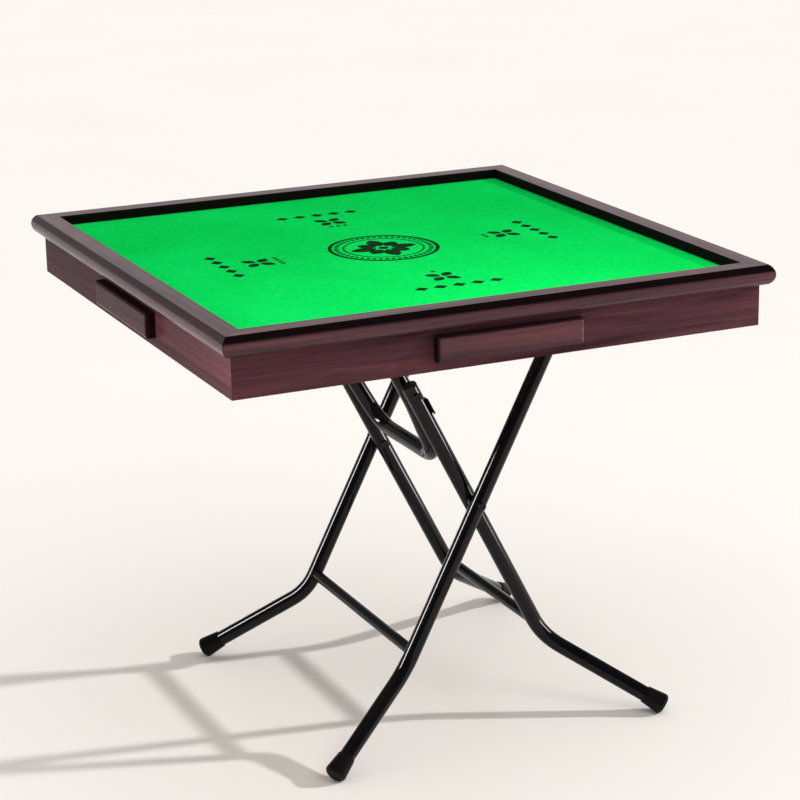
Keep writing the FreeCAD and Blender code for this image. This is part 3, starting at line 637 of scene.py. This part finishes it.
down = (0, 0, -1)
for end, hand in (("front", -1), ("back", 1)):
    low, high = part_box("link_bracket_" + end)
    middleY = (low.y + high.y) / 2 + hand * screwLook["bracketShift"]
    for x in (low.x + screwLook["bracketInset"], high.x - screwLook["bracketInset"]):
        putScrew((x, middleY, high.z - screwLook["bracketDrop"]), down)
    low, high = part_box("cradle_" + end)
    for x in (low.x + screwLook["cradleInset"], high.x - screwLook["cradleInset"]):
        putScrew((x, (low.y + high.y) / 2, high.z - screwLook["cradleDrop"]), down)
for side in sides:
    for hand in ("left", "right"):
        low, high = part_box("runner_%s_%s" % (side, hand))
        alongX = high.x - low.x > high.y - low.y
        for share in screwLook["runnerShares"]:
            x = low.x + (high.x - low.x) * (share if alongX else 0.5)
            y = low.y + (high.y - low.y) * (0.5 if alongX else share)
            putScrew((x, y, low.z), down, screwLook["runnerSize"])
blockLow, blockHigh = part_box("corner_blocks")
blockX, blockY = blockHigh.x - screwLook["blockInset"], blockHigh.y - screwLook["blockInset"]
for sx in (-1, 1):
    for sy in (-1, 1):
        for share in screwLook["blockShares"]:
            height = blockLow.z + (blockHigh.z - blockLow.z) * share
            putScrew((sx * blockX, sy * blockY, height), (-sx, -sy, 0))
print(screwCount, "screws driven")

# Weld beads where the stretchers meet the legs, whose radius and lean are those of the CAD part
weld = {"radius": 0.0017, "steps": 56, "around": 10, "legRadius": 0.01255, "legLean": math.radians(27.1),
        "standOff": 1.02, "rippleSteps": 4, "ripple": 0.20, "lumps": 0.18, "lumpScale": 240}


def weldPath(low, high, hand, leanSide):
    # the curve in which the rod meets the leaning leg
    rodRadius = (high.z - low.z) / 2
    axis = Vector(((low.x + high.x) / 2, 0, (low.z + high.z) / 2))
    across = Vector((math.cos(weld["legLean"]), 0, -leanSide * math.sin(weld["legLean"])))
    nearest = math.sqrt(weld["legRadius"] ** 2 - rodRadius ** 2)
    path = []
    for i in range(weld["steps"]):
        angle = fullTurn * i / weld["steps"]
        offset = Vector((math.cos(angle), 0, math.sin(angle))) * rodRadius
        deep = math.sqrt(max(weld["legRadius"] ** 2 - offset.dot(across) ** 2, 0))
        y = (high.y + nearest - deep) * hand
        path.append(Vector((axis.x, y, axis.z)) + offset * weld["standOff"])
    return axis, path


def makeWeld(name, stretcherNode, hand, leanSide, body):
    axis, path = weldPath(*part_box(stretcherNode), hand, leanSide)
    form = bmesh.new()
    rings = []
    for i, spot in enumerate(path):
        ahead = (path[(i + 1) % len(path)] - path[i - 1]).normalized()
        outward = Vector((spot.x - axis.x, 0, spot.z - axis.z)).normalized()
        aside = ahead.cross(outward).normalized()
        outward = aside.cross(ahead).normalized()
        ripple = weld["ripple"] * math.sin(i * fullTurn / weld["rippleSteps"])
        lumps = weld["lumps"] * noise.noise(spot * weld["lumpScale"])
        swell = weld["radius"] * (1 + ripple + lumps)
        ring = []
        for a in range(weld["around"]):
            angle = fullTurn * a / weld["around"]
            ring.append(form.verts.new(spot + (outward * math.cos(angle) + aside * math.sin(angle)) * swell))
        rings.append(ring)
    for ring, after in zip(rings, rings[1:] + rings[:1]):
        for a in range(weld["around"]):
            b = (a + 1) % weld["around"]
            form.faces.new((ring[a], ring[b], after[b], after[a]))
    bmesh.ops.recalc_face_normals(form, faces=form.faces)
    newPiece(name, meshFrom(name, form), blackTube, body)


for end, hand in (("front", -1), ("back", 1)):
    makeWeld("weld_outer_" + end, "outer_stretcher", hand, 1, "outer_frame")
    makeWeld("weld_inner_" + end, "inner_stretcher", hand, -1, "inner_frame")
print("welds laid")

# Stage: a wide pale floor and a plain room, bright at the horizon and dim above
stage = {
    "floor": (0.90, 0.876, 0.850), "patch": 0.985, "patches": {"scale": 1.4, "roughness": 0.5},
    "reach": 60.0, "segments": 96, "drop": 0.0006, "roughness": 0.9,
    "sky": 1.0, "horizon": 0.80, "ceiling": 0.05, "skySpots": (0.0, 0.52, 0.66, 0.80, 1.0),
    "lowTint": (1.0, 0.99, 0.97), "midTint": (0.62, 0.63, 0.65), "highTint": (1.0, 1.0, 1.02),
    "zenithTint": (0.8, 0.8, 0.82), "roomTint": (1.0, 1.0, 1.05),
    "behind": (-0.05, -0.50, 0.0, 0.92), "leftward": (-0.10, -0.45, 0.0, 0.60),
}


def tinted(level, tint):
    return tuple(level * part for part in tint)


def makeFloor():
    form = bmesh.new()
    bmesh.ops.create_circle(form, cap_ends=True, segments=stage["segments"], radius=stage["reach"])
    mesh = meshFrom("paleFloor", form)
    floor = bpy.data.objects.new("pale_floor", mesh)
    floor.location.z = -stage["drop"]
    bpy.context.scene.collection.objects.link(floor)
    material, tree, shader = startMaterial("paleFloor")
    patches = even(tree, **stage["patches"])
    colour = ramp(tree, patches, noiseSpan, (tinted(stage["patch"], stage["floor"]), stage["floor"]))
    tree.links.new(colour, shader.inputs["Base Color"])
    setSockets(shader, {"Roughness": stage["roughness"], "Specular IOR Level": 0.0})
    mesh.materials.append(material)


def makeWorld():
    world = bpy.data.worlds.new("studio")
    bpy.context.scene.world = world
    world.use_nodes = True
    tree = world.node_tree
    backdrop = tree.nodes["Background"]
    place = axes(tree, add(tree, "ShaderNodeTexCoord").outputs["Generated"])
    low = tinted(stage["horizon"], stage["lowTint"])
    sky = ramp(tree, spread(tree, place[2], -1.0, 1.0, 0.0, 1.0), stage["skySpots"], (
        low, low, tinted(stage["horizon"], stage["midTint"]),
        tinted(stage["ceiling"], stage["highTint"]), tinted(stage["ceiling"], stage["zenithTint"])))
    # the room is dark towards the front and half dark to the left
    behind = spread(tree, place[1], *stage["behind"])
    leftward = spread(tree, place[0], *stage["leftward"])
    shade = sums(tree, "MAXIMUM", behind, leftward)
    sky = mixColours(tree, shade, sky, tinted(stage["ceiling"], stage["roomTint"]))
    tree.links.new(sky, backdrop.inputs["Color"])
    setSockets(backdrop, {"Strength": stage["sky"]})


# Lamps: a low sun from the right, a broad soft light from above, and lamps that reach some pieces only
tubes = [nodes[name] for name in tubeWork]
cloth = [feltSheet, feltMarks]
lacquered = [nodes[form % side] for side in sides for form in ("rail_%s", "apron_%s", "drawer_%s_face")]
leftSide = [nodes["apron_left"], nodes["rail_left"]]
frontDrawer = [nodes["drawer_front_face"]]
sunSpot = (3.0, -0.7, 2.4)
white = (1.0, 1.0, 1.0)
lamps = (
    {"name": "keyLamp", "kind": "SUN", "towards": (-0.273, 0.066, -0.148), "spread": 2.4,
     "power": 2.4, "tint": (1.0, 0.985, 0.97), "glossy": False},
    {"name": "topLight", "kind": "SUN", "towards": (0, 0, -1), "spread": 110.0,
     "power": 2.00, "tint": (1.0, 0.975, 0.945), "glossy": False},
    {"name": "frontPanel", "kind": "AREA", "spot": (1.35, -1.25, 0.85), "towards": (-1.3, 0.82, -0.15),
     "size": 0.6, "power": 11.0, "tint": white, "glossy": False, "onlyOn": lacquered},
    {"name": "cornerFill", "kind": "AREA", "spot": (-0.88, -0.80, 0.64), "towards": (0.45, 0.38, 0.03),
     "size": 0.35, "power": 6.5, "tint": (1.0, 0.97, 0.95), "glossy": False, "onlyOn": leftSide},
    {"name": "nearFill", "kind": "AREA", "spot": (0.9, -2.2, 2.5), "towards": (-0.1, 0.12, -1),
     "size": 1.4, "power": 13.0, "tint": (1.0, 0.985, 0.97), "glossy": False},
    {"name": "leftGlint", "kind": "AREA", "spot": (-3.2, 0.8, 1.75), "towards": (0.90, -0.224, -0.378),
     "size": 0.85, "tall": 3.0, "power": 380.0, "tint": white, "diffuse": False, "onlyOn": tubes},
    {"name": "rightGlint", "kind": "AREA", "spot": (3.0, -1.56, 0.55), "towards": (-0.887, 0.46, 0.0),
     "size": 0.75, "tall": 2.4, "power": 150.0, "tint": white, "diffuse": False, "onlyOn": tubes},
    {"name": "edgeGlint", "kind": "AREA", "spot": (2.0, -0.32, 0.28), "towards": (-1, 0, 0),
     "size": 0.2, "tall": 0.5, "power": 10.0, "tint": white, "diffuse": False, "onlyOn": frontDrawer},
    {"name": "clothLamp", "kind": "AREA", "spot": (0.08, -0.58, 1.34), "towards": (0, 0, -1),
     "size": 0.30, "power": 4.2, "tint": white, "glossy": False, "onlyOn": cloth},
)


def makeLamps():
    for lamp in lamps:
        light = bpy.data.lights.new(lamp["name"], lamp["kind"])
        if lamp["kind"] == "SUN":
            light.angle = math.radians(lamp["spread"])
        else:
            light.shape = "RECTANGLE" if "tall" in lamp else "DISK"
            light.size = lamp["size"]
            light.size_y = lamp.get("tall", lamp["size"])
        light.energy = lamp["power"]
        light.color = lamp["tint"]
        holder = bpy.data.objects.new(lamp["name"], light)
        holder.location = lamp.get("spot", sunSpot)
        holder.rotation_euler = Vector(lamp["towards"]).to_track_quat("-Z", "Y").to_euler()
        # the soft lights stay out of the gloss, and the glints show in nothing else
        holder.visible_glossy = lamp.get("glossy", True)
        holder.visible_diffuse = lamp.get("diffuse", True)
        bpy.context.scene.collection.objects.link(holder)
        if "onlyOn" in lamp:
            lit = bpy.data.collections.new(lamp["name"] + "Lit")
            for piece in lamp["onlyOn"]:
                lit.objects.link(piece)
            holder.light_linking.receiver_collection = lit


makeFloor()
makeWorld()
makeLamps()

# Camera at the photograph's angle
view = {"azimuth": math.radians(-24.749), "elevation": math.radians(16.739), "roll": math.radians(-0.89),
        "spot": (-1.553, -3.421, 1.630), "lens": 110.375, "sensor": 36.0, "farEnd": 200.0}


def makeCamera():
    azimuth, elevation, roll = view["azimuth"], view["elevation"], view["roll"]
    back = Vector((math.sin(azimuth) * math.cos(elevation), -math.cos(azimuth) * math.cos(elevation),
                   math.sin(elevation)))
    right = Vector((math.cos(azimuth), math.sin(azimuth), 0))
    up = back.cross(right)
    rightTurned = right * math.cos(roll) + up * math.sin(roll)
    upTurned = -right * math.sin(roll) + up * math.cos(roll)
    lens = bpy.data.cameras.new("camera")
    lens.lens = view["lens"]
    lens.sensor_width = view["sensor"]
    lens.clip_end = view["farEnd"]
    holder = bpy.data.objects.new("camera", lens)
    turn = Matrix((rightTurned, upTurned, back)).transposed().to_4x4()
    holder.matrix_world = Matrix.Translation(view["spot"]) @ turn
    bpy.context.scene.collection.objects.link(holder)
    bpy.context.scene.camera = holder


makeCamera()
bpy.context.scene.view_settings.view_transform = "Standard"
print("stage set")

bpy.context.view_layer.update()
